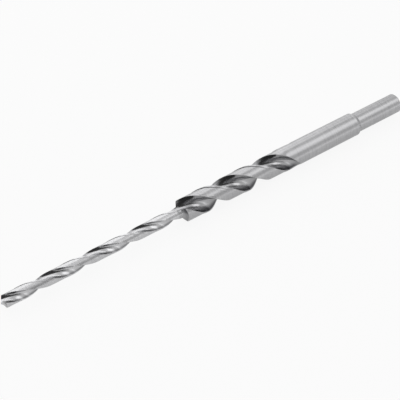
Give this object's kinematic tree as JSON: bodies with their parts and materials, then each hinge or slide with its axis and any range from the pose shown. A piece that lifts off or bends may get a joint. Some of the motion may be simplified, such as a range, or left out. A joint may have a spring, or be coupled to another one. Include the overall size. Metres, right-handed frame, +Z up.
{
  "type": "twist drill bit",
  "caption": "Right-hand two-flute step twist drill bit of bright-ground steel: slim pilot drill, cutting shoulder, wider body and a reduced round shank.",
  "frame": {"origin": "centre of the shank's end face", "axes": "+X along the drill's axis, from the point towards the shank's end, so the point looks towards -X; +Z is up as the drill lies on its side; +Y completes the right-handed frame"},
  "size_m": [0.181, 0.0094, 0.0094],
  "materials": {
    "ground_steel": "bright ground"
  },
  "bodies": {
    "root": {"drill_bit": "ground_steel"}
  },
  "joints": []
}
